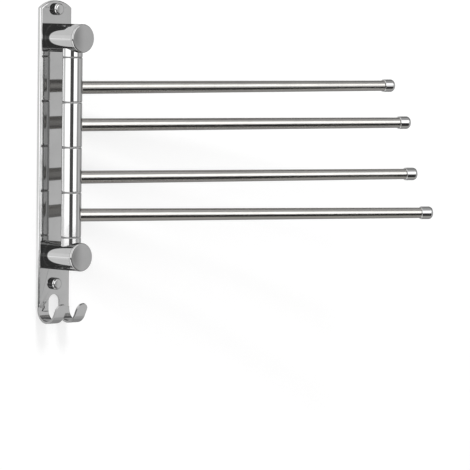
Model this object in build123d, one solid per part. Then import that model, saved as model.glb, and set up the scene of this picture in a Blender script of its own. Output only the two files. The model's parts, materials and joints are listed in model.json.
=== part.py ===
from build123d import *
import os
from math import cos, radians, sin, sqrt

# A swing-arm towel rack for a wall: a pressed plate carries two posts, a spindle runs between
# the posts, and four arms swing on it. +Y goes into the wall, -Y into the room, +Z is up and
# +X is the side that the arms point to. The origin is midway between the two wall screws, on
# the wall. All sizes are in millimetres and degrees.

# ------------------------------------------------------------------ driving sizes
# Wall plate: one pressed sheet, flanged back to the wall, two hooks bent out of its foot
sheet = 2.0                     # sheet thickness
plate_width = 39.0
plate_depth = 4.5               # from the wall to the plate's front
plate_edge_round = 1.6          # outside rounding where the front turns into the flange
crown_radius = 30.0             # arched upper end
crown_above_screw = 8.4
flange_below_screw = 22.5       # how far the side flanges run on below the lower screw
notch_width = 14.0              # gap between the two hooks' legs
notch_below_screw = 10.3        # from the lower screw down to the notch's arched top
bend_below_screw = 24.5         # from the lower screw down to where the legs start to bend
bend_radius = 12.2              # hook's U-bend, measured at the middle of the sheet
hook_lean = 27.0                # how far the hook's prong leans out from upright
prong_length = 6.9              # straight part of the prong, up to the centre of its round tip

# Posts: turned bars that stand out from the plate, one at each end of the spindle
post_diameter = 27.5
post_nose = 6.25                # from the barrels' outermost line to the post's front
post_cap_thickness = 3.0
post_cap_round = 1.2            # rounding of the front edge
post_spigot_diameter = 16.0
post_spigot_length = 4.0
screw_beyond_post = 27.5        # from a post's axis to the wall screw beyond it

# Spindle: a rod inside a stack of collars, barrels and washers
spindle_out = 24.0              # from the plate's front to the spindle's axis
rod_diameter = 8.0
rod_past_post_axis = 4.0
spindle_diameter = 19.5         # outside of the collars and barrels
collar_show = 3.95              # collar in sight below the post's lowest line
collar_seat = 0.9               # how far the whole of the collar's rim sinks into the post
barrel_length = 42.4
barrel_wall = 1.5
bush_length = 8.0
washer_thickness = 0.9
washer_step = 0.4               # how far a washer stays back from the barrels' outside
barrel_edge_break = 0.3

# Arms: a slightly tapered tube butt-welded to each barrel, closed by a domed cap
arm_reach = 369.0               # from the spindle's axis to the arm's tip
bar_root_diameter = 12.7        # on the spindle's axis, before the saddle is cut
bar_tip_diameter = 10.4         # where the tube enters its cap, and on from there
bar_wall = 1.0
end_cap_diameter = 12.6
end_cap_length = 12.5
end_cap_thickness = 2.5         # thickness of the closed end
end_cap_round = 4.0             # rounding of the closed end
end_cap_lip_round = 0.5
arm_angles = (11.5, 16.5, 19.0, 25.5)   # each arm's rest angle out from the wall, top to bottom
bar_drops = (7.5, 0.0, 7.0, 0.0)        # how far each bar sits below its barrel's middle

# Screws that hold a post to the plate, from behind
post_screw_diameter = 6.0
post_screw_length = 14.0
post_screw_head_diameter = 11.0
post_screw_head_height = 2.0
post_screw_socket = 4.0         # hexagon across flats
post_screw_socket_depth = 1.2

# Wall screws, each under a snap-on cap
wall_screw_diameter = 4.0       # over the thread
wall_screw_neck_diameter = 3.4  # plain neck under the head
wall_screw_reach = 25.0         # how far the screw goes into the wall
wall_screw_tip = 4.0            # length of the tapered tip
wall_screw_point_diameter = 0.8
wall_screw_head_diameter = 7.6
wall_screw_head_height = 2.4
wall_screw_recess = 4.4         # length of the cross recess
wall_screw_recess_width = 0.9
wall_screw_recess_depth = 1.4
screw_seat_diameter = 10.0
screw_seat_thickness = 1.2
screw_cap_diameter = 11.5
screw_cap_height = 5.5
screw_cap_end = 0.9
screw_cap_round = 2.2

# Named clearances, each measured on the radius or along one face
running_clearance = 0.05        # bush on rod, and washer to barrel along the spindle
seat_clearance = 0.02           # parts pushed into each other
thread_clearance = 0.03         # screw in its tapped hole, threads left plain
hole_clearance = 0.2            # screw through a plain hole
edge_search = 0.01              # how far off a line an edge may lie and still be found on it

# ------------------------------------------------------------------ derived sizes
post_radius = post_diameter / 2
spindle_radius = spindle_diameter / 2
skin_back = plate_depth - sheet
arm_count = len(arm_angles)

groove = washer_thickness + 2 * running_clearance
barrel_pitch = barrel_length + groove
stack_half = (arm_count * barrel_length + (arm_count + 1) * groove) / 2
post_height = stack_half + collar_show + post_radius
collar_floor = post_height - sqrt(post_radius**2 - spindle_radius**2) + collar_seat
rod_half = post_height + rod_past_post_axis
screw_height = post_height + screw_beyond_post

spindle_y = -(plate_depth + spindle_out)
post_length = spindle_out + spindle_radius + post_nose
post_front = plate_depth + post_length

plate_top = screw_height + crown_above_screw
flange_foot = -screw_height - flange_below_screw
notch_top = -screw_height - notch_below_screw
bend_height = -screw_height - bend_below_screw
leg_width = (plate_width - notch_width) / 2
leg_across = (notch_width + leg_width) / 2
leg_middle = plate_depth - sheet / 2
barrel_bore = spindle_diameter - 2 * barrel_wall
cap_mouth = arm_reach - end_cap_length

# Front view: x across, y up, normal towards the room. The wall is its zero.
front_view = Plane.XZ


def disc(diameter, start, height):
    """A round bar that stands on the wall side: from start, height long towards the room."""
    bar = Cylinder(diameter / 2, height, align=(Align.CENTER, Align.CENTER, Align.MIN))
    return front_view * Pos(0, 0, start) * bar


def upright(diameter, low, high):
    """A round bar on the Z axis between two heights."""
    bar = Cylinder(diameter / 2, high - low, align=(Align.CENTER, Align.CENTER, Align.MIN))
    return Pos(0, 0, low) * bar


def on_spindle(piece):
    """Moves a piece built on the Z axis out to the spindle's axis."""
    return Pos(0, spindle_y, 0) * piece


def strip(width, low, top, radius):
    """Front outline with straight sides under a crown arc that peaks at top."""
    half = width / 2
    shoulder = top - radius + sqrt(radius**2 - half**2)
    sides = Polyline((half, shoulder), (half, low), (-half, low), (-half, shoulder))
    crown = ThreePointArc((-half, shoulder), (0, top), (half, shoulder))
    return make_face(sides + crown)


def slab(outline, start, height):
    """A front-view outline as a solid, from start, height long towards the room."""
    return extrude(front_view * Pos(0, 0, start) * outline, amount=height, dir=(0, -1, 0))


# ------------------------------------------------------------------ wall plate and hooks
def hook(across):
    """One hook: its leg turns out of the plate in a U and rises to a round tip."""
    turn = 180 - hook_lean
    centre = (leg_middle + bend_radius, bend_height)
    outer = CenterArc(centre, bend_radius + sheet / 2, 180, turn)
    inner = CenterArc(centre, bend_radius - sheet / 2, 180, turn)
    ends = Line(outer @ 0, inner @ 0) + Line(outer @ 1, inner @ 1)
    section = make_face(outer + inner + ends)
    side_view = Plane((across + leg_width / 2, 0, 0), x_dir=(0, -1, 0), z_dir=(-1, 0, 0))
    bend = extrude(side_view * section, amount=leg_width, dir=(-1, 0, 0))

    end = (outer @ 1 + inner @ 1) / 2
    lean = radians(hook_lean)
    along = Vector(0, -sin(lean), cos(lean))
    under = Vector(1, 0, 0).cross(along)
    prong_plane = Plane(Vector(across, -end.X, end.Y), x_dir=(1, 0, 0), z_dir=under)
    flat = Pos(0, prong_length / 2) * Rectangle(leg_width, prong_length)
    tip = Pos(0, prong_length) * Circle(leg_width / 2)
    prong = extrude(prong_plane * (flat + tip), amount=sheet / 2, both=True)
    return bend + prong


def wall_plate():
    """Pressed plate with its flange, screw holes, notch and hooks."""
    plate = slab(strip(plate_width, bend_height, plate_top, crown_radius), 0, plate_depth)
    front = -plate_depth
    front_edges = plate.edges().filter_by_position(Axis.Y, front - edge_search, front + edge_search)
    pressed = [edge for edge in front_edges if edge.center().Z > bend_height + edge_search]
    plate = fillet(pressed, plate_edge_round)

    hollow = strip(plate_width - 2 * sheet, bend_height, plate_top - sheet, crown_radius - sheet)
    foot = Pos(0, (flange_foot + bend_height) / 2) * Rectangle(plate_width, flange_foot - bend_height)
    plate -= slab(hollow, 0, skin_back)
    plate -= slab(foot, 0, skin_back)

    notch_arc = Pos(0, notch_top - notch_width / 2) * Circle(notch_width / 2)
    notch_height = notch_top - notch_width / 2 - bend_height
    notch_foot = Pos(0, bend_height + notch_height / 2) * Rectangle(notch_width, notch_height)
    plate -= slab(notch_arc + notch_foot, 0, plate_depth)

    for side in (1, -1):
        wall_hole = disc(wall_screw_diameter + 2 * hole_clearance, 0, plate_depth)
        post_hole = disc(post_screw_diameter + 2 * hole_clearance, 0, plate_depth)
        plate -= Pos(0, 0, side * screw_height) * wall_hole
        plate -= Pos(0, 0, side * post_height) * post_hole
        plate += hook(side * leg_across)
    return plate


# ------------------------------------------------------------------ posts
def post(side):
    """A post's body: tapped from behind, bored for its cap, socketed for the collar and rod."""
    body = disc(post_diameter, plate_depth, post_length - post_cap_thickness)
    body -= disc(post_screw_diameter, plate_depth, post_screw_length)
    spigot_hole = post_spigot_diameter + 2 * seat_clearance
    spigot_start = post_front - post_cap_thickness - post_spigot_length
    body -= disc(spigot_hole, spigot_start, post_spigot_length)
    body = Pos(0, 0, post_height) * body

    collar_socket = upright(spindle_diameter + 2 * seat_clearance, stack_half, collar_floor)
    rod_socket = upright(rod_diameter + 2 * seat_clearance, stack_half, rod_half)
    body -= on_spindle(collar_socket)
    body -= on_spindle(rod_socket)
    return body if side > 0 else mirror(body, about=Plane.XY)


def post_cap(side):
    """The disc that closes a post, with the spigot that holds it."""
    cap = disc(post_diameter, post_front - post_cap_thickness, post_cap_thickness)
    cap = fillet(cap.edges().sort_by(Axis.Y)[0], post_cap_round)
    spigot_start = post_front - post_cap_thickness - post_spigot_length + seat_clearance
    cap += disc(post_spigot_diameter, spigot_start, post_spigot_length)
    return Pos(0, 0, side * post_height) * cap


def post_screw(side):
    """Low-head screw that pulls a post onto the plate from behind."""
    head = disc(post_screw_head_diameter, skin_back - post_screw_head_height, post_screw_head_height)
    shank_length = sheet + post_screw_length - hole_clearance
    shank = disc(post_screw_diameter - 2 * thread_clearance, skin_back, shank_length)
    hexagon = RegularPolygon(post_screw_socket / 2, 6, major_radius=False)
    socket = slab(hexagon, skin_back - post_screw_head_height, post_screw_socket_depth)
    return Pos(0, 0, side * post_height) * (head + shank - socket)


# ------------------------------------------------------------------ spindle
def spindle_rod():
    """The rod that every barrel turns on, held in a blind socket in each post."""
    return on_spindle(upright(rod_diameter, -rod_half + seat_clearance, rod_half - seat_clearance))


def collar(side):
    """Fixed ring between a post and the first barrel."""
    ring = upright(spindle_diameter, stack_half, collar_floor - seat_clearance)
    ring = chamfer(ring.edges().sort_by(Axis.Z)[0], barrel_edge_break)
    ring -= upright(rod_diameter + 2 * seat_clearance, stack_half, collar_floor)
    ring = on_spindle(ring)
    return ring if side > 0 else mirror(ring, about=Plane.XY)


def friction_washer(index):
    """Washer in the groove above barrel number index, counted from the top."""
    top = stack_half - index * barrel_pitch - running_clearance
    ring = upright(spindle_diameter - 2 * washer_step, top - washer_thickness, top)
    ring -= upright(rod_diameter + 2 * running_clearance, top - washer_thickness, top)
    return on_spindle(ring)


# ------------------------------------------------------------------ arms
def barrel():
    """Hinge tube, centred on its own middle."""
    half = barrel_length / 2
    tube = upright(spindle_diameter, -half, half)
    rims = tube.edges().filter_by(GeomType.CIRCLE)
    tube = chamfer(rims, barrel_edge_break)
    return tube - upright(barrel_bore, -half, half)


def bush(side):
    """Nylon bush pressed into the barrel's upper or lower end."""
    half = barrel_length / 2
    low = half - bush_length
    ring = upright(barrel_bore - 2 * seat_clearance, low, half)
    ring -= upright(rod_diameter + 2 * running_clearance, low, half)
    return ring if side > 0 else mirror(ring, about=Plane.XY)


def along_arm(diameter, start, end, drop):
    """A round bar along the arm, between two distances from the spindle's axis."""
    bar = Cylinder(diameter / 2, end - start, align=(Align.CENTER, Align.CENTER, Align.MIN))
    return Pos(start, 0, -drop) * Rot(Y=90) * bar


def tapered_bar(thinner, drop):
    """The towel bar's outside made thinner all round: a cone, then straight inside the cap."""
    root, tip = bar_root_diameter / 2 - thinner, bar_tip_diameter / 2 - thinner
    cone = Cone(root, tip, cap_mouth, align=(Align.CENTER, Align.CENTER, Align.MIN))
    cone = Pos(0, 0, -drop) * Rot(Y=90) * cone
    bar_end = arm_reach - end_cap_thickness - seat_clearance
    return cone + along_arm(2 * tip, cap_mouth, bar_end, drop)


def bar_tube(drop):
    """The towel bar: a tapered tube whose inner end is saddle-cut to fit the barrel."""
    tube = tapered_bar(0, drop) - tapered_bar(bar_wall, drop)
    return tube - upright(spindle_diameter, -barrel_length, barrel_length)


def end_cap(drop):
    """Domed cap pushed over the bar's outer end."""
    cap = along_arm(end_cap_diameter, cap_mouth, arm_reach, drop)
    rims = cap.edges().filter_by(GeomType.CIRCLE).sort_by(Axis.X)
    cap = fillet(rims[-1], end_cap_round)
    rims = cap.edges().filter_by(GeomType.CIRCLE).sort_by(Axis.X)
    cap = fillet(rims[0], end_cap_lip_round)
    bore = bar_tip_diameter + 2 * seat_clearance
    return cap - along_arm(bore, cap_mouth, arm_reach - end_cap_thickness, drop)


def arm_pieces(index):
    """All pieces of one arm by name, in place at the arm's rest angle."""
    drop = bar_drops[index]
    middle = stack_half - groove - barrel_length / 2 - index * barrel_pitch
    place = Pos(0, spindle_y, middle) * Rot(Z=-arm_angles[index])
    pieces = {
        "barrel": barrel(),
        "upper_bush": bush(1),
        "lower_bush": bush(-1),
        "bar": bar_tube(drop),
        "end_cap": end_cap(drop),
    }
    return {f"arm_{index + 1}_{name}": place * piece for name, piece in pieces.items()}


# ------------------------------------------------------------------ wall screws
def screw_seat(side):
    """Ring under a wall screw's head, which the cap snaps onto."""
    ring = disc(screw_seat_diameter, plate_depth, screw_seat_thickness)
    ring -= disc(wall_screw_diameter + 2 * hole_clearance, plate_depth, screw_seat_thickness)
    return Pos(0, 0, side * screw_height) * ring


def wall_screw(side):
    """Pan-head screw into the wall, with a plain neck through the plate and a pointed tip."""
    head_start = plate_depth + screw_seat_thickness
    head = disc(wall_screw_head_diameter, head_start, wall_screw_head_height)
    neck_start = skin_back / 2
    neck = disc(wall_screw_neck_diameter, neck_start, head_start - neck_start)
    shank_start = -(wall_screw_reach - wall_screw_tip)
    shank = disc(wall_screw_diameter, shank_start, neck_start - shank_start)
    tip = Cone(
        wall_screw_point_diameter / 2,
        wall_screw_diameter / 2,
        wall_screw_tip,
        align=(Align.CENTER, Align.CENTER, Align.MIN),
    )
    tip = front_view * Pos(0, 0, -wall_screw_reach) * tip
    slot = Rectangle(wall_screw_recess, wall_screw_recess_width)
    cross = slot + Rot(Z=90) * slot
    recess_start = head_start + wall_screw_head_height - wall_screw_recess_depth
    recess = slab(cross, recess_start, wall_screw_recess_depth)
    return Pos(0, 0, side * screw_height) * (head + neck + shank + tip - recess)


def screw_cap(side):
    """Hollow cap over a wall screw's head."""
    cap = disc(screw_cap_diameter, plate_depth, screw_cap_height)
    cap = fillet(cap.edges().filter_by(GeomType.CIRCLE).sort_by(Axis.Y)[0], screw_cap_round)
    cavity = disc(screw_seat_diameter + 2 * seat_clearance, plate_depth, screw_cap_height - screw_cap_end)
    return Pos(0, 0, side * screw_height) * (cap - cavity)


# ------------------------------------------------------------------ all pieces by name
nodes = {"wall_plate": wall_plate(), "spindle_rod": spindle_rod()}
for end, side in (("upper", 1), ("lower", -1)):
    nodes[f"{end}_post"] = post(side)
    nodes[f"{end}_post_cap"] = post_cap(side)
    nodes[f"{end}_post_screw"] = post_screw(side)
    nodes[f"{end}_collar"] = collar(side)
    nodes[f"{end}_screw_seat"] = screw_seat(side)
    nodes[f"{end}_wall_screw"] = wall_screw(side)
    nodes[f"{end}_screw_cap"] = screw_cap(side)
for index in range(arm_count + 1):
    nodes[f"friction_washer_{index + 1}"] = friction_washer(index)
for index in range(arm_count):
    nodes.update(arm_pieces(index))

os.makedirs("parts", exist_ok=True)
for name, piece in nodes.items():
    export_step(piece, f"parts/{name}.step")

print("nodes", len(nodes))
print("wall screws at +/-", screw_height, "posts at +/-", post_height)
print("plate top", plate_top, "hook foot", bend_height - bend_radius - sheet / 2)
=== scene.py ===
"""Looks of a swing-arm towel rack: polished and satin steel on a wall, in a plain pale studio.

The rack hangs on a wall at y = 0, with the room on the -Y side. Sizes in the classes are in
millimetres and degrees, and meshes are made in metres.
"""

from __future__ import annotations

import json
import logging
import math
from collections.abc import Callable, Sequence
from dataclasses import dataclass, field
from enum import Enum

import bmesh
import bpy
from mathutils import Matrix, Vector

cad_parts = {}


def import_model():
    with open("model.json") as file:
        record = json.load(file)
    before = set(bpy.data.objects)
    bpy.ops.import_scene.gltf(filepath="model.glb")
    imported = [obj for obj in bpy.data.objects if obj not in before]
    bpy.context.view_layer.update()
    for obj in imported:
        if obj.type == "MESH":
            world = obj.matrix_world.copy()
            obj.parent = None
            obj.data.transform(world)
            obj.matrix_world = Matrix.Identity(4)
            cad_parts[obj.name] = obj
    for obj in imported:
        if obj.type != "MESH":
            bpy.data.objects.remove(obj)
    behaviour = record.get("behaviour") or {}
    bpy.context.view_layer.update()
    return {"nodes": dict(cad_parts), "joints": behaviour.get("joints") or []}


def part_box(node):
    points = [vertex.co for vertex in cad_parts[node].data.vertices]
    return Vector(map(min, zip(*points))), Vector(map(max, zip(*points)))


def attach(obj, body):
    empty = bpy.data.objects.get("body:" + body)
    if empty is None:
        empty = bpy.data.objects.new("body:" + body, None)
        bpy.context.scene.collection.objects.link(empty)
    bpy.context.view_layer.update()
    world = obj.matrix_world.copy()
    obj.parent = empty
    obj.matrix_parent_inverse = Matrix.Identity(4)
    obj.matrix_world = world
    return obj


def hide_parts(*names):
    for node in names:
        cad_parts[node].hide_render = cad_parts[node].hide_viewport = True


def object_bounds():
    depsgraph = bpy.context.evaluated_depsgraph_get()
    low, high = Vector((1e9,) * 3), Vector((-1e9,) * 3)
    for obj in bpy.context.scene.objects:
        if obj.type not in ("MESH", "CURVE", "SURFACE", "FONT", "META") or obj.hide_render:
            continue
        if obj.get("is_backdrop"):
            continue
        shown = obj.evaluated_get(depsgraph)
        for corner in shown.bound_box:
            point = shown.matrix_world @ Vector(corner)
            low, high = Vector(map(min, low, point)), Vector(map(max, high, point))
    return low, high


log = logging.getLogger("towel_rack")

MM = 0.001
SIDES = 128                     # flats in a full turn of a large turned piece
SMALL_SIDES = 64                # the same for screws
ARC_STEP = math.radians(11)     # turn between two points on a rounded corner
SHARP = math.radians(35)        # edges that turn more than this stay crisp
NOISE_LOW, NOISE_HIGH = 0.3, 0.7    # most of a noise lies between these
SECOND_MIRROR = 2.5             # a ray deeper than this has met two mirrors or more
ROOM_SIDE = Vector((0, -1, 0))
UP = Vector((0, 0, 1))

Colour = tuple[float, float, float]
Ring = Callable[[float], tuple[float, float]]


# ---------------------------------------------------------------- turned and pressed meshes
@dataclass(frozen=True)
class Corner:
    """A corner of a half-section: radius from the axis, height along it, and its rounding."""

    radius: float
    height: float
    round: float = 0.0


@dataclass(frozen=True)
class Hoop:
    """A ring of one radius at one height."""

    radius: float
    height: float

    def __call__(self, angle: float) -> tuple[float, float]:
        """The ring's radius and height, the same at every angle."""
        return self.radius, self.height


@dataclass(frozen=True)
class Saddle:
    """A ring that follows the side of an upright barrel, where a bar meets it."""

    radius: float
    lift: float
    drum: float

    def __call__(self, angle: float) -> tuple[float, float]:
        """The ring's radius, and its distance from the barrel's axis at an angle."""
        across = self.radius * math.cos(angle)
        return self.radius, math.sqrt(self.drum**2 - across**2) + self.lift


@dataclass(frozen=True)
class ThreadRing:
    """A slice of a screw thread: one pointed ridge that climbs one pitch for each turn."""

    height: float
    root: float
    crest: float
    pitch: float
    steepness: float = 3.0      # the greater, the narrower the ridge

    def __call__(self, angle: float) -> tuple[float, float]:
        """The thread's radius at an angle, and the slice's height."""
        turn = (self.height / self.pitch - angle / math.tau) % 1.0
        ridge = max(0.0, 1.0 - self.steepness * abs(turn - 0.5))
        return self.root + (self.crest - self.root) * ridge, self.height


@dataclass(frozen=True)
class CrossRing:
    """A ring with the outline of a cross recess."""

    reach: float
    half_width: float
    height: float

    def __call__(self, angle: float) -> tuple[float, float]:
        """The cross's radius at an angle, and its height."""
        quarter = angle % (math.pi / 2)
        from_arm = min(quarter, math.pi / 2 - quarter)
        if math.tan(from_arm) * self.reach < self.half_width:
            return self.reach / math.cos(from_arm), self.height
        return self.half_width / math.sin(from_arm), self.height


def rounded(corners: Sequence[Corner], closed: bool = False) -> list[Hoop]:
    """Turns a half-section's corners into rings, with an arc at each rounded corner.

    Args:
        corners: the section's corners in order.
        closed: whether the section is a loop, as on a tube.

    Returns:
        One ring for each point of the section.
    """
    rings: list[Hoop] = []
    for index, corner in enumerate(corners):
        ends = not closed and index in (0, len(corners) - 1)
        if ends or corner.round == 0:
            rings.append(Hoop(corner.radius, corner.height))
            continue
        here = Vector((corner.radius, corner.height))
        before, after = corners[index - 1], corners[(index + 1) % len(corners)]
        back = (Vector((before.radius, before.height)) - here).normalized()
        on = (Vector((after.radius, after.height)) - here).normalized()
        half = back.angle(on) / 2
        centre = here + (back + on).normalized() * (corner.round / math.sin(half))
        start = here + back * (corner.round / math.tan(half)) - centre
        end = here + on * (corner.round / math.tan(half)) - centre
        sweep = start.angle(end)
        steps = max(3, math.ceil(sweep / ARC_STEP))
        for step in range(steps + 1):
            share = step / steps
            arm = start * math.sin((1 - share) * sweep) + end * math.sin(share * sweep)
            point = centre + arm / math.sin(sweep)
            rings.append(Hoop(point.x, point.y))
    return rings


def finish_mesh(mesh: bmesh.types.BMesh, name: str) -> bpy.types.Object:
    """Makes a smooth-shaded object of a mesh, with its normals outward and hard edges crisp.

    Args:
        mesh: the mesh, which is freed.
        name: the object's name.

    Returns:
        The new object, at the origin.
    """
    bmesh.ops.recalc_face_normals(mesh, faces=mesh.faces)
    for face in mesh.faces:
        face.smooth = True
    for edge in mesh.edges:
        edge.smooth = edge.calc_face_angle(0.0) < SHARP
    data = bpy.data.meshes.new(name)
    mesh.to_mesh(data)
    mesh.free()
    piece = bpy.data.objects.new(name, data)
    bpy.context.scene.collection.objects.link(piece)
    return piece


def even_normals(piece: bpy.types.Object) -> None:
    """Lets the large faces lead the shading, so that flats look flat and roundings smooth."""
    weighted = piece.modifiers.new("even_normals", "WEIGHTED_NORMAL")
    weighted.keep_sharp = True
    weighted.weight = 100


def spin(
    name: str, rings: Sequence[Ring], closed: bool = False, sides: int = SIDES
) -> bpy.types.Object:
    """Joins rings round the local Z axis into one skin, as on a lathe.

    Args:
        name: the piece's name.
        rings: each gives (radius, height) in mm at an angle. A ring with no radius is a pole.
        closed: whether the last ring joins the first, as on a tube.
        sides: flats in a full turn.

    Returns:
        The new object, at the origin.
    """
    mesh = bmesh.new()
    loops = []
    for ring in rings:
        points = []
        for step in range(sides):
            angle = math.tau * step / sides
            radius, height = ring(angle)
            points.append((radius * math.cos(angle), radius * math.sin(angle), height))
            if radius == 0:
                break
        loops.append([mesh.verts.new(Vector(point) * MM) for point in points])
    following = loops[1:] + loops[:1] if closed else loops[1:]
    for low, high in zip(loops, following):
        for step in range(sides):
            last = (step + 1) % sides
            around = (
                low[step % len(low)],
                low[last % len(low)],
                high[last % len(high)],
                high[step % len(high)],
            )
            mesh.faces.new(dict.fromkeys(around))
    piece = finish_mesh(mesh, name)
    even_normals(piece)
    return piece


def stand(piece: bpy.types.Object, foot: Vector, axis: Vector) -> bpy.types.Object:
    """Turns a piece's Z axis to an axis and sets its origin at a point.

    Args:
        piece: the piece, still at the origin.
        foot: where its origin goes, in metres.
        axis: which way its Z axis points.

    Returns:
        The same piece.
    """
    z_axis = axis.normalized()
    x_axis = (UP if abs(z_axis.z) < 0.9 else ROOM_SIDE).cross(z_axis).normalized()
    y_axis = z_axis.cross(x_axis)
    turn = Matrix((x_axis, y_axis, z_axis)).transposed()
    piece.matrix_world = Matrix.Translation(foot) @ turn.to_4x4()
    return piece


# ---------------------------------------------------------------- finishes
def grey(level: float) -> Colour:
    """A neutral colour of the given brightness."""
    return level, level, level


class Shader:
    """Builds a node tree, a node at a time."""

    def __init__(self, tree: bpy.types.NodeTree) -> None:
        """Empties the tree.

        Args:
            tree: the material's or the world's nodes.
        """
        self.tree = tree
        tree.nodes.clear()

    def node(
        self, kind: str, inputs: dict[str | int, object] | None = None, **options: object
    ) -> bpy.types.Node:
        """Adds a node.

        Args:
            kind: the node's type.
            inputs: what each input is set to, or the output that is linked to it.
            options: the node's own settings.

        Returns:
            The new node.
        """
        made = self.tree.nodes.new(kind)
        for key, value in options.items():
            setattr(made, key, value)
        for key, value in (inputs or {}).items():
            if isinstance(value, bpy.types.NodeSocket):
                self.tree.links.new(value, made.inputs[key])
            else:
                made.inputs[key].default_value = value
        return made

    def math(self, operation: str, *values: object) -> bpy.types.NodeSocket:
        """The output of a math node.

        Args:
            operation: what it works out.
            values: its inputs, as numbers or outputs.

        Returns:
            Its result.
        """
        inputs = dict(enumerate(values))
        return self.node("ShaderNodeMath", inputs, operation=operation).outputs[0]

    def noise(
        self, where: bpy.types.NodeSocket, pitch: float, detail: float = 2.0
    ) -> bpy.types.NodeSocket:
        """The height of a cloudy noise.

        Args:
            where: the point.
            pitch: the size of its clouds, in mm.
            detail: how many finer layers it has.

        Returns:
            The noise, from 0 to 1.
        """
        inputs = {"Vector": where, "Scale": 1 / (pitch * MM), "Detail": detail}
        return self.node("ShaderNodeTexNoise", inputs).outputs["Fac"]

    def spread(
        self, value: bpy.types.NodeSocket, low: float, high: float
    ) -> bpy.types.NodeSocket:
        """Stretches a noise so that its middle range runs from low to high.

        Args:
            value: the noise.
            low: the least result.
            high: the greatest result.

        Returns:
            The stretched value.
        """
        inputs = {
            "Value": value,
            "From Min": NOISE_LOW,
            "From Max": NOISE_HIGH,
            "To Min": low,
            "To Max": high,
        }
        return self.node("ShaderNodeMapRange", inputs).outputs[0]


class Grain(Enum):
    """Which way a surface's fine marks run."""

    ALL_WAYS = "all ways"
    ALONG = "along the piece"
    TURNED = "round the axis"


@dataclass(frozen=True)
class Steel:
    """A steel finish: colour, gloss, and the depth of its marks."""

    slot: str
    colour: Colour
    clean: float                # roughness where it is cleanest
    dull: float                 # roughness under a smear
    grain: Grain
    grain_pitch: float          # width of its fine marks, in mm
    grain_depth: float          # in mm
    ripple_depth: float         # slow unevenness left by buffing, in mm
    ripple_pitch: float = 14.0
    smear_pitch: float = 22.0
    grain_stretch: float = 0.012    # how much slower drawn grain changes along the piece
    wear: float = 0.93          # brightness of the most worn places

    def grain_point(self, shader: Shader, point: bpy.types.NodeSocket) -> bpy.types.NodeSocket:
        """Squeezes or bends space so that noise in it runs with the grain.

        Args:
            shader: the tree under construction.
            point: the point on the piece.

        Returns:
            The point to look up the grain at.
        """
        if self.grain is Grain.ALL_WAYS:
            return point
        if self.grain is Grain.ALONG:
            stretch = {0: point, 1: (1.0, 1.0, self.grain_stretch)}
            return shader.node("ShaderNodeVectorMath", stretch, operation="MULTIPLY").outputs[0]
        flat = shader.node(
            "ShaderNodeVectorMath", {0: point, 1: (1.0, 1.0, 0.0)}, operation="MULTIPLY"
        ).outputs[0]
        length = shader.node("ShaderNodeVectorMath", {0: flat}, operation="LENGTH")
        height = shader.node("ShaderNodeSeparateXYZ", {0: point}).outputs["Z"]
        away = length.outputs["Value"]
        return shader.node("ShaderNodeCombineXYZ", {0: away, 2: height}).outputs[0]

    def material(self) -> bpy.types.Material:
        """Makes the finish as a material."""
        made = bpy.data.materials.new(f"{self.slot}_{self.grain.name.lower()}")
        made.use_nodes = True
        shader = Shader(made.node_tree)
        point = shader.node("ShaderNodeTexCoord").outputs["Object"]
        smear = shader.noise(point, self.smear_pitch, detail=4.0)
        grain = shader.noise(self.grain_point(shader, point), self.grain_pitch, detail=3.0)
        ripple = shader.noise(point, self.ripple_pitch, detail=1.0)

        streaks = shader.spread(grain, 0.75, 1.25)
        marks = shader.math("MULTIPLY", streaks, shader.spread(smear, 0, 1))
        roughness = shader.node(
            "ShaderNodeMapRange", {"Value": marks, "To Min": self.clean, "To Max": self.dull}
        ).outputs[0]
        worn = tuple(self.wear * channel for channel in self.colour)
        colour = shader.node(
            "ShaderNodeMix",
            {0: shader.spread(smear, 0, 1), 6: (*self.colour, 1), 7: (*worn, 1)},
            data_type="RGBA",
        ).outputs[2]
        slow = shader.node(
            "ShaderNodeBump", {"Height": ripple, "Distance": self.ripple_depth * MM}
        ).outputs[0]
        fine = shader.node(
            "ShaderNodeBump",
            {"Height": grain, "Distance": self.grain_depth * MM, "Normal": slow},
        ).outputs[0]
        surface = shader.node(
            "ShaderNodeBsdfPrincipled",
            {
                "Base Color": colour,
                "Metallic": 1.0,
                "Roughness": roughness,
                "Normal": fine,
            },
        )
        shader.node("ShaderNodeOutputMaterial", {"Surface": surface.outputs[0]})
        return made


@dataclass(frozen=True)
class Nylon:
    """Moulded grey nylon, with a fine spark-eroded texture."""

    slot: str
    colour: Colour
    texture_pitch: float = 0.35
    texture_depth: float = 0.01
    bloom: float = 1.25         # brightness of the paler specks
    clean: float = 0.42         # roughness between the specks
    dull: float = 0.6           # roughness on them

    def material(self) -> bpy.types.Material:
        """Makes the finish as a material."""
        made = bpy.data.materials.new(f"{self.slot}_moulded")
        made.use_nodes = True
        shader = Shader(made.node_tree)
        point = shader.node("ShaderNodeTexCoord").outputs["Object"]
        texture = shader.noise(point, self.texture_pitch)
        paler = tuple(self.bloom * channel for channel in self.colour)
        colour = shader.node(
            "ShaderNodeMix",
            {0: shader.spread(texture, 0, 1), 6: (*self.colour, 1), 7: (*paler, 1)},
            data_type="RGBA",
        ).outputs[2]
        bump = shader.node(
            "ShaderNodeBump", {"Height": texture, "Distance": self.texture_depth * MM}
        ).outputs[0]
        surface = shader.node(
            "ShaderNodeBsdfPrincipled",
            {
                "Base Color": colour,
                "Roughness": shader.spread(texture, self.clean, self.dull),
                "Normal": bump,
            },
        )
        shader.node("ShaderNodeOutputMaterial", {"Surface": surface.outputs[0]})
        return made


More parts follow.
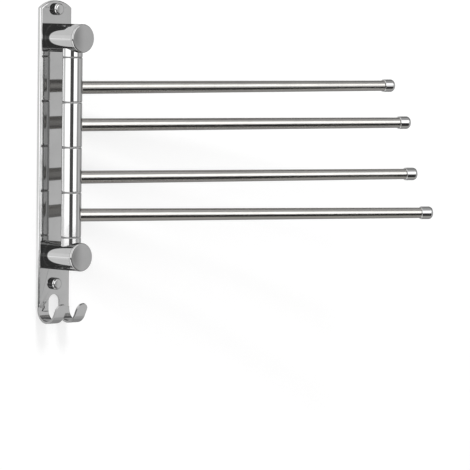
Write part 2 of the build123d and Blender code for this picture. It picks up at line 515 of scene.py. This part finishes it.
@dataclass
class Finishes:
    """Every finish on the rack, each made once.

    The pressed plate is buffed, posts, collars, barrels and caps are turned and polished, discs
    are faced, the bars are drawn and satin, and the plate's cut edges are left duller.
    """

    polished: bpy.types.Material = field(init=False)
    turned: bpy.types.Material = field(init=False)
    faced: bpy.types.Material = field(init=False)
    cut: bpy.types.Material = field(init=False)
    satin: bpy.types.Material = field(init=False)
    by_slot: dict[str, bpy.types.Material] = field(init=False)

    def __post_init__(self) -> None:
        """Makes the materials."""
        buffed, turned, drawn = Grain.ALL_WAYS, Grain.TURNED, Grain.ALONG
        self.polished = Steel(
            "polished_steel", grey(0.88), clean=0.03, dull=0.09, grain=buffed,
            grain_pitch=0.5, grain_depth=0.0004, ripple_depth=0.012,
        ).material()
        self.turned = Steel(
            "polished_steel", grey(0.88), clean=0.04, dull=0.1, grain=turned,
            grain_pitch=0.22, grain_depth=0.0008, ripple_depth=0.006,
        ).material()
        self.faced = Steel(
            "polished_steel", grey(0.76), clean=0.05, dull=0.11, grain=turned,
            grain_pitch=0.3, grain_depth=0.0008, ripple_depth=0.006,
        ).material()
        self.cut = Steel(
            "polished_steel", grey(0.55), clean=0.3, dull=0.42, grain=buffed,
            grain_pitch=0.25, grain_depth=0.003, ripple_depth=0.0,
        ).material()
        self.satin = Steel(
            "satin_steel", (0.82, 0.80, 0.77), clean=0.13, dull=0.22, grain=drawn,
            grain_pitch=0.3, grain_depth=0.0015, ripple_depth=0.004,
        ).material()
        ground = Steel(
            "ground_steel", grey(0.68), clean=0.22, dull=0.32, grain=turned,
            grain_pitch=0.2, grain_depth=0.002, ripple_depth=0.0,
        )
        plated = Steel(
            "screw_steel", (0.60, 0.62, 0.65), clean=0.22, dull=0.42, grain=buffed,
            grain_pitch=0.4, grain_depth=0.002, ripple_depth=0.01,
        )
        nylon = Nylon("grey_nylon", grey(0.46))
        self.by_slot = {each.slot: each.material() for each in (ground, plated, nylon)}


def fit(
    piece: bpy.types.Object,
    material: bpy.types.Material,
    body: str,
    node: str,
) -> None:
    """Dresses a piece, hangs it on its body and lets it stand for a CAD node.

    Args:
        piece: the piece, in place.
        material: its finish.
        body: the body that it moves with.
        node: the CAD node that it stands for.
    """
    piece.data.materials.append(material)
    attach(piece, body)
    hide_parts(node)
    log.info("%s: %d points, rides on %s", piece.name, len(piece.data.vertices), body)


# ---------------------------------------------------------------- wall plate
@dataclass
class WallPlate:
    """The pressed plate: a flanged sheet whose foot is cut into two legs bent up as hooks."""

    sheet: float = 2.0
    width: float = 39.0
    depth: float = 4.5
    edge_round: float = 1.6
    edge_round_steps: int = 5
    edge_break: float = 0.7
    edge_break_steps: int = 3
    crisp: float = 50.0         # edges that turn more than this are broken
    crown_radius: float = 30.0
    crown_points: int = 24
    flange_foot: float = -155.0
    notch_width: float = 14.0
    notch_top: float = -142.8
    bend_radius: float = 12.2
    lean: float = 27.0
    bend_points: int = 18
    prong_length: float = 6.9
    tip_points: int = 16
    rim: float = 2.4            # band along the outline that takes the edge roundings
    relief: float = 0.4         # gap between the flange's end and the leg
    hole_points: int = 32
    wall_hole: float = 4.4
    post_hole: float = 6.4
    wall_hole_height: float = 132.5
    post_hole_height: float = 105.0

    def outline(self, crown: float, bend: float) -> list[tuple[float, float]]:
        """The front's outline, anticlockwise from the right leg's outer corner.

        Args:
            crown: height of the arched top.
            bend: height where the legs start to bend.

        Returns:
            Its points, across and up.
        """
        half = self.width / 2
        gap = self.notch_width / 2
        reach = math.asin(half / self.crown_radius)
        points = [(half, bend), (half, self.flange_foot - self.relief), (half, self.flange_foot)]
        for step in range(self.crown_points + 1):
            angle = reach - 2 * reach * step / self.crown_points
            across = self.crown_radius * math.sin(angle)
            points.append((across, crown - self.crown_radius * (1 - math.cos(angle))))
        points += [(-half, self.flange_foot), (-half, self.flange_foot - self.relief)]
        points += [(-half, bend), (-gap, bend)]
        for step in range(self.crown_points + 1):
            angle = math.pi - math.pi * step / self.crown_points
            points.append((gap * math.cos(angle), self.notch_top - gap + gap * math.sin(angle)))
        points.append((gap, bend))
        return points

    def hole(
        self, mesh: bmesh.types.BMesh, diameter: float, height: float
    ) -> list[bmesh.types.BMEdge]:
        """Adds a round hole's edge loop to the front.

        Args:
            mesh: the plate under construction.
            diameter: the hole's diameter.
            height: how high its centre is.

        Returns:
            The loop's edges.
        """
        ring = []
        for step in range(self.hole_points):
            angle = math.tau * step / self.hole_points
            across = diameter / 2 * math.cos(angle)
            up = height + diameter / 2 * math.sin(angle)
            ring.append(mesh.verts.new((across * MM, -self.depth * MM, up * MM)))
        return [mesh.edges.new((a, b)) for a, b in zip(ring, ring[1:] + ring[:1])]

    def leg(self, mesh: bmesh.types.BMesh, start: bmesh.types.BMEdge, bend: float) -> None:
        """Bends one leg on from the plate's lower edge, up to its round tip.

        Args:
            mesh: the plate under construction.
            start: the edge where the leg starts to bend.
            bend: that edge's height.
        """
        turn = math.radians(180 - self.lean)
        inner = self.bend_radius - self.sheet / 2
        centre_out = self.depth + inner
        row = start
        path = []
        for step in range(1, self.bend_points + 1):
            angle = turn * step / self.bend_points
            path.append((centre_out - inner * math.cos(angle), bend - inner * math.sin(angle)))
        out, up = path[-1]
        along_out = math.sin(turn)
        along_up = -math.cos(turn)
        path.append((out + self.prong_length * along_out, up + self.prong_length * along_up))
        for out, up in path:
            row = self.next_row(mesh, row, out, up)
        low, high = sorted(row.verts, key=lambda vert: vert.co.x)
        middle = (low.co + high.co) / 2
        radius = (high.co - low.co).length / 2
        along = Vector((0, -along_out, along_up))
        arc = []
        for step in range(1, self.tip_points):
            angle = math.pi * step / self.tip_points
            offset = Vector((radius * math.cos(angle), 0, 0)) + along * (radius * math.sin(angle))
            arc.append(mesh.verts.new(middle + offset))
        mesh.faces.new([low, high, *arc])

    @staticmethod
    def next_row(
        mesh: bmesh.types.BMesh, row: bmesh.types.BMEdge, out: float, up: float
    ) -> bmesh.types.BMEdge:
        """Runs a strip on from an edge.

        Args:
            mesh: the plate under construction.
            row: the edge that the strip leaves.
            out: the new edge's distance from the wall.
            up: its height.

        Returns:
            The new edge.
        """
        grown = bmesh.ops.extrude_edge_only(mesh, edges=[row])["geom"]
        for vert in grown:
            if isinstance(vert, bmesh.types.BMVert):
                vert.co.y, vert.co.z = -out * MM, up * MM
        return next(part for part in grown if isinstance(part, bmesh.types.BMEdge))

    def skin(self, crown: float, bend: float) -> bmesh.types.BMesh:
        """The sheet's front skin: flat front, side flange and both hooks.

        Args:
            crown: height of the arched top.
            bend: height where the legs start to bend.

        Returns:
            The skin, whose fold edges carry a bevel weight.
        """
        mesh = bmesh.new()
        fold = mesh.edges.layers.float.new("bevel_weight_edge")
        points = self.outline(crown, bend)
        verts = [mesh.verts.new((x * MM, -self.depth * MM, z * MM)) for x, z in points]
        front = mesh.faces.new(verts)
        borders = list(front.edges)
        bmesh.ops.inset_region(mesh, faces=[front], thickness=self.rim * MM, use_even_offset=True)
        loop = list(front.edges)
        bmesh.ops.delete(mesh, geom=[front], context="FACES_ONLY")
        for side in (1, -1):
            loop += self.hole(mesh, self.wall_hole, side * self.wall_hole_height)
            loop += self.hole(mesh, self.post_hole, side * self.post_hole_height)
        bmesh.ops.triangle_fill(mesh, edges=loop, use_beauty=True, normal=ROOM_SIDE)

        legs, flanged = [], []
        for edge in borders:
            (x1, _, z1), (x2, _, z2) = (vert.co / MM for vert in edge.verts)
            lower, upper = min(z1, z2), max(z1, z2)
            inside = max(abs(x1), abs(x2)) <= self.notch_width / 2 + self.relief
            if upper < bend + self.relief and not inside:
                legs.append(edge)
            elif lower > self.flange_foot - self.relief / 2 and not inside:
                flanged.append(edge)
        crown_edges = [edge for edge in borders if min(v.co.z for v in edge.verts) > 0]
        flanged = list(dict.fromkeys(flanged + crown_edges))
        for edge in flanged:
            edge[fold] = 1.0
        grown = bmesh.ops.extrude_edge_only(mesh, edges=flanged)["geom"]
        for part in grown:
            if isinstance(part, bmesh.types.BMVert):
                part.co.y = 0.0
            elif isinstance(part, bmesh.types.BMEdge):
                part[fold] = 0.0
        for edge in legs:
            self.leg(mesh, edge, bend)
        return mesh

    def build(self, finishes: Finishes) -> None:
        """Builds the plate and dresses it.

        Args:
            finishes: the rack's finishes.
        """
        low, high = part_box("wall_plate")
        crown = high.z / MM
        bend = low.z / MM + self.bend_radius + self.sheet / 2
        piece = finish_mesh(self.skin(crown, bend), "wall_plate_pressed")
        if piece.data.polygons[0].normal.y > 0:
            piece.data.flip_normals()
        thick = piece.modifiers.new("thickness", "SOLIDIFY")
        thick.thickness = self.sheet * MM
        thick.offset = -1
        thick.use_even_offset = True
        thick.material_offset_rim = 1  # the cut edges take the second material
        folds = piece.modifiers.new("fold_rounding", "BEVEL")
        folds.limit_method = "WEIGHT"
        folds.width = self.edge_round * MM
        folds.segments = self.edge_round_steps
        edges = piece.modifiers.new("edge_break", "BEVEL")
        edges.limit_method = "ANGLE"
        edges.angle_limit = math.radians(self.crisp)
        edges.width = self.edge_break * MM
        edges.segments = self.edge_break_steps
        even_normals(piece)
        fit(piece, finishes.polished, "wall_frame", "wall_plate")
        piece.data.materials.append(finishes.cut)


# ---------------------------------------------------------------- posts
@dataclass
class Post:
    """One of the two posts, with the disc that closes its front."""

    end: str
    edge_break: float = 0.25
    seam_break: float = 0.12
    face_round: float = 1.2
    dome: float = 0.35          # how far the middle of the disc's face swells
    dome_steps: int = 8
    spigot_diameter: float = 16.0
    spigot_length: float = 4.0
    tapped_diameter: float = 6.0
    tapped_depth: float = 14.0

    def build(self, finishes: Finishes) -> None:
        """Builds the post's bar and its disc.

        Args:
            finishes: the rack's finishes.
        """
        low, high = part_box(f"{self.end}_post")
        disc_low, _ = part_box(f"{self.end}_post_cap")
        radius = (high.z - low.z) / 2 / MM
        back, seam, front = -high.y / MM, -low.y / MM, -disc_low.y / MM
        foot = Vector((0, 0, (low.z + high.z) / 2))
        spigot = self.spigot_diameter / 2
        tapped = self.tapped_diameter / 2
        bar = spin(
            f"{self.end}_post_bar",
            rounded(
                [
                    Corner(0, back + self.tapped_depth),
                    Corner(tapped, back + self.tapped_depth),
                    Corner(tapped, back, self.seam_break),
                    Corner(radius, back, self.edge_break),
                    Corner(radius, seam, self.seam_break),
                    Corner(spigot, seam, self.seam_break),
                    Corner(spigot, seam - self.spigot_length),
                    Corner(0, seam - self.spigot_length),
                ]
            ),
        )
        flat = radius - self.face_round
        swell = []
        for step in range(1, self.dome_steps + 1):
            share = 1 - step / self.dome_steps
            swell.append(Corner(flat * share, front + self.dome * (1 - share**2)))
        disc = spin(
            f"{self.end}_post_disc",
            rounded(
                [
                    Corner(0, seam - self.spigot_length + self.seam_break),
                    Corner(spigot - self.seam_break, seam - self.spigot_length + self.seam_break),
                    Corner(spigot - self.seam_break, seam),
                    Corner(radius, seam, self.seam_break),
                    Corner(radius, front, self.face_round),
                    *swell,
                ]
            ),
        )
        for piece, finish, node in (
            (bar, finishes.turned, "post"),
            (disc, finishes.faced, "post_cap"),
        ):
            stand(piece, foot, ROOM_SIDE)
            fit(piece, finish, "wall_frame", f"{self.end}_{node}")


@dataclass
class Collar:
    """The fixed ring between a post and the first barrel."""

    end: str
    bore: float = 8.04
    edge_break: float = 0.3

    def build(self, finishes: Finishes) -> None:
        """Builds the ring on the spindle's axis.

        Args:
            finishes: the rack's finishes.
        """
        low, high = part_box(f"{self.end}_collar")
        radius = (high.x - low.x) / 2 / MM
        height = (high.z - low.z) / MM
        middle = (low + high) / 2
        ring = spin(
            f"{self.end}_spindle_ring",
            rounded(
                [
                    Corner(self.bore / 2, -height / 2),
                    Corner(radius, -height / 2, self.edge_break),
                    Corner(radius, height / 2, self.edge_break),
                    Corner(self.bore / 2, height / 2),
                ],
                closed=True,
            ),
            closed=True,
        )
        stand(ring, middle, UP)
        fit(ring, finishes.turned, "wall_frame", f"{self.end}_collar")


# ---------------------------------------------------------------- arms
@dataclass
class SwingArm:
    """One arm: the barrel that turns on the spindle, its towel bar and the bar's domed cap."""

    number: int
    angle: float                # out from the wall, in degrees
    barrel_wall: float = 1.5
    barrel_edge: float = 0.8
    root_diameter: float = 12.7     # the bar on the spindle's axis
    tip_diameter: float = 10.4      # the bar where it enters its cap, and on from there
    bar_wall: float = 1.0
    weld: float = 0.7           # leg of the weld between the bar and the barrel
    weld_steps: int = 5
    reach: float = 369.0
    cap_diameter: float = 12.6
    cap_length: float = 12.5
    cap_end: float = 2.5
    cap_round: float = 4.0
    lip_round: float = 0.5
    fit_gap: float = 0.02
    bar_hoops: int = 12

    @property
    def body(self) -> str:
        """The body that the arm's pieces move with."""
        return f"arm_{self.number}"

    def radius_at(self, along: float) -> float:
        """The bar's radius at a distance from the spindle's axis."""
        share = along / (self.reach - self.cap_length)
        return (self.root_diameter + (self.tip_diameter - self.root_diameter) * share) / 2

    def barrel(self, radius: float, length: float) -> bpy.types.Object:
        """The hinge barrel, centred on its own middle.

        Args:
            radius: its outside radius.
            length: its length.

        Returns:
            The barrel, at the origin.
        """
        bore = radius - self.barrel_wall
        half = length / 2
        corners = [
            Corner(bore, -half),
            Corner(radius, -half, self.barrel_edge),
            Corner(radius, half, self.barrel_edge),
            Corner(bore, half),
        ]
        return spin(f"{self.body}_hinge_barrel", rounded(corners, closed=True), closed=True)

    def bar(self, drum: float) -> bpy.types.Object:
        """The towel bar, along its Z axis from the spindle, with its weld to the barrel.

        Args:
            drum: the barrel's outside radius.

        Returns:
            The bar, at the origin.
        """
        root = self.radius_at(drum)
        end = self.reach - self.cap_end - self.fit_gap
        start, mouth = drum + 4 * self.weld, self.reach - self.cap_length
        rings: list[Ring] = [Saddle(root - self.bar_wall, 0.0, drum)]
        for step in range(self.weld_steps + 1):
            turn = math.pi / 2 * step / self.weld_steps
            swell = self.weld * (1 - math.sin(turn))
            rings.append(Saddle(root + swell, self.weld * (1 - math.cos(turn)), drum))
        for step in range(self.bar_hoops + 1):
            along = start + (mouth - start) * step / self.bar_hoops
            rings.append(Hoop(self.radius_at(along), along))
        rings.append(Hoop(self.tip_diameter / 2, end))
        rings.append(Hoop(self.tip_diameter / 2 - self.bar_wall, end))
        rings.append(Hoop(root - self.bar_wall, start))
        return spin(f"{self.body}_towel_bar", rings, closed=True)

    def cap(self) -> bpy.types.Object:
        """The domed cap over the bar's outer end, along its Z axis from the spindle.

        Returns:
            The cap, at the origin.
        """
        radius = self.cap_diameter / 2
        bore = self.tip_diameter / 2 + self.fit_gap
        mouth = self.reach - self.cap_length
        corners = [
            Corner(0, self.reach - self.cap_end),
            Corner(bore, self.reach - self.cap_end),
            Corner(bore, mouth, self.lip_round / 2),
            Corner(radius, mouth, self.lip_round),
            Corner(radius, self.reach, self.cap_round),
            Corner(0, self.reach),
        ]
        return spin(f"{self.body}_domed_cap", rounded(corners))

    def build(self, finishes: Finishes) -> None:
        """Builds the arm at its rest angle.

        Args:
            finishes: the rack's finishes.
        """
        low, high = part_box(f"{self.body}_barrel")
        bar_low, bar_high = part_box(f"{self.body}_bar")
        centre = (low + high) / 2
        radius = (high.x - low.x) / 2 / MM
        turn = math.radians(self.angle)
        along = Vector((math.cos(turn), -math.sin(turn), 0))
        root = Vector((centre.x, centre.y, (bar_low.z + bar_high.z) / 2))

        barrel = stand(self.barrel(radius, (high.z - low.z) / MM), centre, UP)
        bar = stand(self.bar(radius), root, along)
        cap = stand(self.cap(), root, along)
        fit(barrel, finishes.polished, self.body, f"{self.body}_barrel")
        fit(bar, finishes.satin, self.body, f"{self.body}_bar")
        fit(cap, finishes.polished, self.body, f"{self.body}_end_cap")


# ---------------------------------------------------------------- wall screws
@dataclass
class WallScrew:
    """A threaded wall screw and the snap-on cap that hides its head."""

    end: str
    thread_diameter: float = 4.0
    root_diameter: float = 2.9
    neck_diameter: float = 3.4
    pitch: float = 1.6
    slices: int = 10            # rings in one pitch
    point: float = 4.0          # length of the tapered point
    thread_end: float = 1.0     # how far the thread comes out of the wall
    head_diameter: float = 7.6
    head_height: float = 2.4
    recess_reach: float = 2.2
    recess_half_width: float = 0.45
    recess_depth: float = 1.4
    recess_taper: float = 0.85  # the recess's width at its floor, as a share of its mouth's
    recess_edge: float = 0.1    # flat left on the head round the recess
    head_edge: float = 0.2
    head_round: float = 1.6
    cap_diameter: float = 11.5
    cap_height: float = 5.5
    cap_wall: float = 0.9
    cap_round: float = 2.2
    ceiling_round: float = 0.6
    rim_round: float = 0.1
    seat_diameter: float = 10.04

    def screw(self, tip: float, top: float) -> bpy.types.Object:
        """The screw, with heights counted from the wall towards the room.

        Args:
            tip: the height of its point, below nought.
            top: the height of its head's top.

        Returns:
            The screw, at the origin.
        """
        crest, root = self.thread_diameter / 2, self.root_diameter / 2
        rings: list[Ring] = [Hoop(0, tip)]
        count = round((self.thread_end - tip) / self.pitch * self.slices)
        for step in range(1, count):
            height = tip + step * self.pitch / self.slices
            taper = min(1.0, (height - tip) / self.point)
            rings.append(ThreadRing(height, root * taper, crest * taper, self.pitch))
        neck, head = self.neck_diameter / 2, self.head_diameter / 2
        under = top - self.head_height
        floor = top - self.recess_depth
        rings += rounded(
            [
                Corner(neck, self.thread_end + self.pitch / 2),
                Corner(neck, under),
                Corner(head, under, self.head_edge),
                Corner(head, top, self.head_round),
                Corner(self.recess_reach + self.recess_edge, top),
            ]
        )
        for taper, height in ((1.0, top), (self.recess_taper, floor)):
            rings.append(
                CrossRing(taper * self.recess_reach, taper * self.recess_half_width, height)
            )
        rings.append(Hoop(0, floor))
        return spin(f"{self.end}_wall_screw_threaded", rings, sides=SMALL_SIDES)

    def cover(self, foot: float) -> bpy.types.Object:
        """The snap-on cap, with heights counted from the wall towards the room.

        Args:
            foot: the height of its open rim.

        Returns:
            The cap, at the origin.
        """
        radius, bore = self.cap_diameter / 2, self.seat_diameter / 2
        top, ceiling = foot + self.cap_height, foot + self.cap_height - self.cap_wall
        corners = [
            Corner(0, ceiling),
            Corner(bore, ceiling, self.ceiling_round),
            Corner(bore, foot),
            Corner(radius, foot, self.rim_round),
            Corner(radius, top, self.cap_round),
            Corner(0, top),
        ]
        return spin(f"{self.end}_screw_cover", rounded(corners))

    def build(self, finishes: Finishes) -> None:
        """Builds the screw and its cap.

        Args:
            finishes: the rack's finishes.
        """
        low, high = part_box(f"{self.end}_wall_screw")
        _, cover_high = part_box(f"{self.end}_screw_cap")
        foot = Vector((0, 0, (low.z + high.z) / 2))
        screw = stand(self.screw(-high.y / MM, -low.y / MM), foot, ROOM_SIDE)
        cover = stand(self.cover(-cover_high.y / MM), foot, ROOM_SIDE)
        steel = finishes.by_slot["screw_steel"]
        fit(screw, steel, "wall_frame", f"{self.end}_wall_screw")
        fit(cover, finishes.turned, "wall_frame", f"{self.end}_screw_cap")


# ---------------------------------------------------------------- studio
@dataclass(frozen=True)
class Card:
    """A white card or black flag far round the rack, seen only in the polish.

    It reaches half_width to each side of its azimuth and from low to high over the horizon, with
    an edge that fades over soft, all in degrees. Azimuth 0 is the room side, 90 the arms' side
    and 180 the wall side.
    """

    azimuth: float
    half_width: float
    low: float
    high: float
    shade: Colour
    soft: float = 3.0


@dataclass
class Studio:
    """The plain studio: wall, floor, one soft lamp, cards round the rack, and the camera."""

    room: Colour = grey(0.49)
    cards: tuple[Card, ...] = (  # a later card covers an earlier one
        Card(180, 82, -90, 90, grey(0.59), 6),          # beside the posts
        Card(103, 40, -90, 90, grey(0.34), 10),         # behind the arms
        Card(118, 25, -70, -15, grey(0.26), 8),         # under the bars
        Card(84, 26, 24, 78, grey(0.10), 8),            # in the hollows of the hooks
        Card(-94, 34, -90, 90, grey(1.3), 6),           # left of the spindle
        Card(-134, 8, -15, 15, grey(0.67), 4),          # beside the flange
        Card(0, 75, 38, 90, grey(0.40)),                # over the rack
        Card(0, 75, -90, -50, (0.31, 0.305, 0.29)),     # the ground
        Card(-10, 52, -50, -16, grey(0.02)),            # dark line along the bars
        Card(-42.5, 19.3, -70, 38, grey(0.07)),         # dark stripe down the spindle
        Card(-4.5, 18.5, -16, 8, grey(1.4)),            # bright stripe down the spindle
        Card(4, 28, 4, 38, grey(1.4)),                  # bright line along the bars
        Card(-137, 7, -7, -3.2, grey(0.90), 1.0),       # beside the flange's lower part
        Card(-60, 74, -16, -3.8, grey(0.10), 0.3),      # dark edge of the legs
        Card(32, 6, -14, 8, grey(0.24), 8),             # left side of the discs
    )
    second_cards: tuple[Card, ...] = (  # seen only in what the rack itself mirrors
        Card(-10, 56, 8, 62, grey(0.035), 6),           # round the posts
        Card(-10, 56, -62, -8, grey(0.035), 6),
        Card(82, 34, -60, 60, grey(0.08), 6),           # edges of the bars
        Card(82, 34, -24, 24, grey(0.17), 20),          # middle of the bars
        Card(127, 10, 18, 54, grey(0.55), 6),           # backs of the prongs
        Card(-140, 82, -60, 60, grey(0.2), 8),          # the spindle
    )
    fill: float = 0.55          # brightness of the plain soft light from all round
    lamp_power: float = 27.0
    lamp_size: float = 0.7
    lamp_place: tuple[float, float, float] = (-0.15, -1.5, 1.8)
    wall_paint: float = 0.46
    wall_glow: float = 0.67
    floor_drop: float = 0.45    # floor below the rack's lowest point, in metres
    backdrop_reach: float = 4.0  # from the middle of the wall and the floor, in metres
    backdrop_squares: int = 8
    azimuth: float = -42.92
    elevation: float = 3.46
    roll: float = 0.635         # turn about the line of sight
    distance: float = 4500.0
    aim: tuple[float, float, float] = (186.72, -59.6, -88.9)    # the middle of the view
    lens: float = 349.78
    far: float = 50.0           # the furthest that the camera sees, in metres

    def card_mask(
        self, shader: Shader, way: bpy.types.NodeSocket, card: Card
    ) -> bpy.types.NodeSocket:
        """How far a direction lies on a card.

        Args:
            shader: the world under construction.
            way: the direction.
            card: the card.

        Returns:
            1 on the card and 0 off it.
        """
        turned = shader.node(
            "ShaderNodeVectorRotate",
            {"Vector": way, "Angle": -math.radians(card.azimuth)},
            rotation_type="Z_AXIS",
        ).outputs[0]
        parts = shader.node("ShaderNodeSeparateXYZ", {0: turned}).outputs
        roomward = shader.math("MULTIPLY", parts[1], -1.0)
        across = shader.math("ABSOLUTE", shader.math("ARCTAN2", parts[0], roomward))
        up = shader.math("ARCSINE", parts[2])
        mask: bpy.types.NodeSocket | None = None
        for value, edge, rising in (
            (across, card.half_width, False),
            (up, card.low, True),
            (up, card.high, False),
        ):
            ends = (1.0, 0.0) if not rising else (0.0, 1.0)
            step = shader.node(
                "ShaderNodeMapRange",
                {
                    "Value": value,
                    "From Min": math.radians(edge - card.soft / 2),
                    "From Max": math.radians(edge + card.soft / 2),
                    "To Min": ends[0],
                    "To Max": ends[1],
                },
                interpolation_type="SMOOTHSTEP",
            ).outputs[0]
            mask = step if mask is None else shader.math("MULTIPLY", mask, step)
        return mask

    def surroundings(self) -> None:
        """Sets the world: white to the camera, plain soft light, and cards in the polish."""
        world = bpy.data.worlds.new("studio")
        bpy.context.scene.world = world
        world.use_nodes = True
        shader = Shader(world.node_tree)
        way = shader.node("ShaderNodeTexCoord").outputs["Generated"]
        path = shader.node("ShaderNodeLightPath").outputs
        twice = shader.math("GREATER_THAN", path["Ray Depth"], SECOND_MIRROR)
        shade: object = (*self.room, 1)
        for card in self.cards + self.second_cards:
            mask = self.card_mask(shader, way, card)
            if card in self.second_cards:
                mask = shader.math("MULTIPLY", mask, twice)
            shade = shader.node(
                "ShaderNodeMix", {0: mask, 6: shade, 7: (*card.shade, 1)}, data_type="RGBA"
            ).outputs[2]
        plain = (self.fill, self.fill, self.fill, 1)
        lit = shader.node(
            "ShaderNodeMix", {0: path["Is Glossy Ray"], 6: plain, 7: shade}, data_type="RGBA"
        ).outputs[2]
        seen = shader.node(
            "ShaderNodeMix", {0: path["Is Camera Ray"], 6: lit, 7: (1, 1, 1, 1)}, data_type="RGBA"
        ).outputs[2]
        background = shader.node("ShaderNodeBackground", {"Color": seen})
        shader.node("ShaderNodeOutputWorld", {"Surface": background.outputs[0]})

    def backdrop_material(self) -> bpy.types.Material:
        """White paint that only the camera sees, from its front, and that keeps shadows."""
        made = bpy.data.materials.new("backdrop")
        made.use_nodes = True
        shader = Shader(made.node_tree)
        shade = (self.wall_paint, self.wall_paint, self.wall_paint, 1)
        paint = shader.node("ShaderNodeBsdfDiffuse", {"Color": shade})
        glow = shader.node(
            "ShaderNodeEmission", {"Color": (1, 1, 1, 1), "Strength": self.wall_glow}
        )
        front = shader.node("ShaderNodeAddShader", {0: paint.outputs[0], 1: glow.outputs[0]})
        clear = shader.node("ShaderNodeBsdfTransparent")
        path = shader.node("ShaderNodeLightPath").outputs["Is Camera Ray"]
        behind = shader.node("ShaderNodeNewGeometry").outputs["Backfacing"]
        shown = shader.math("MULTIPLY", path, shader.math("SUBTRACT", 1.0, behind))
        mixed = shader.node(
            "ShaderNodeMixShader", {0: shown, 1: clear.outputs[0], 2: front.outputs[0]}
        )
        shader.node("ShaderNodeOutputMaterial", {"Surface": mixed.outputs[0]})
        return made

    def backdrop(self) -> None:
        """Adds the wall behind the rack and the floor under it."""
        low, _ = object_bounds()
        paint = self.backdrop_material()
        for name, centre, normal in (
            ("studio_wall", Vector((0, 0, 0)), ROOM_SIDE),
            ("studio_floor", Vector((0, 0, low.z - self.floor_drop)), UP),
        ):
            mesh = bmesh.new()
            squares = self.backdrop_squares
            bmesh.ops.create_grid(
                mesh, x_segments=squares, y_segments=squares, size=self.backdrop_reach
            )
            sheet = finish_mesh(mesh, name)
            if sheet.data.polygons[0].normal.z < 0:
                sheet.data.flip_normals()
            sheet.data.materials.append(paint)
            stand(sheet, centre, normal)
            sheet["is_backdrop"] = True
            log.info("%s in place", name)

    def lamp(self) -> None:
        """Adds the soft lamp, high up in front of the rack."""
        light = bpy.data.lights.new("soft_lamp", "AREA")
        light.shape = "SQUARE"
        light.size = self.lamp_size
        light.energy = self.lamp_power
        lamp = bpy.data.objects.new("soft_lamp", light)
        place = Vector(self.lamp_place)
        facing = (-place).to_track_quat("-Z", "Y").to_matrix().to_4x4()
        lamp.matrix_world = Matrix.Translation(place) @ facing
        lamp.visible_glossy = False
        bpy.context.scene.collection.objects.link(lamp)

    def camera(self) -> None:
        """Sets the camera, a long lens to the left of the rack and a little above it."""
        azimuth, elevation = math.radians(self.azimuth), math.radians(self.elevation)
        back = Vector(
            (
                math.sin(azimuth) * math.cos(elevation),
                -math.cos(azimuth) * math.cos(elevation),
                math.sin(elevation),
            )
        )
        right = UP.cross(back).normalized()
        up = back.cross(right)
        tilt = math.radians(self.roll)
        right, up = (
            right * math.cos(tilt) + up * math.sin(tilt),
            up * math.cos(tilt) - right * math.sin(tilt),
        )
        data = bpy.data.cameras.new("camera")
        data.lens = self.lens
        data.clip_end = self.far
        camera = bpy.data.objects.new("camera", data)
        turn = Matrix((right, up, back)).transposed().to_4x4()
        place = (Vector(self.aim) + back * self.distance) * MM
        camera.matrix_world = Matrix.Translation(place) @ turn
        bpy.context.scene.collection.objects.link(camera)
        bpy.context.scene.camera = camera

    def build(self) -> None:
        """Sets up the whole studio."""
        self.surroundings()
        self.backdrop()
        self.lamp()
        self.camera()
        bpy.context.scene.view_settings.view_transform = "Standard"


# ---------------------------------------------------------------- the rack
def dress_nodes(nodes: dict[str, bpy.types.Object], finishes: Finishes) -> None:
    """Gives each CAD node that still shows the finish of its slot.

    Args:
        nodes: the CAD nodes by name.
        finishes: the rack's finishes.
    """
    for name, node in nodes.items():
        if node.hide_render:
            continue
        for holder in node.material_slots:
            holder.material = finishes.by_slot[holder.material.name]
        log.info("%s keeps its shape", name)


def main() -> None:
    """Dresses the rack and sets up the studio."""
    logging.basicConfig(level=logging.INFO, format="%(message)s")
    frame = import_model()
    finishes = Finishes()

    WallPlate().build(finishes)
    for end in ("upper", "lower"):
        Post(end).build(finishes)
        Collar(end).build(finishes)
        WallScrew(end).build(finishes)
    for number, joint in enumerate(frame["joints"], start=1):
        SwingArm(number, -joint["range_deg"][0]).build(finishes)
    dress_nodes(frame["nodes"], finishes)
    Studio().build()


if __name__ == "__main__":
    main()
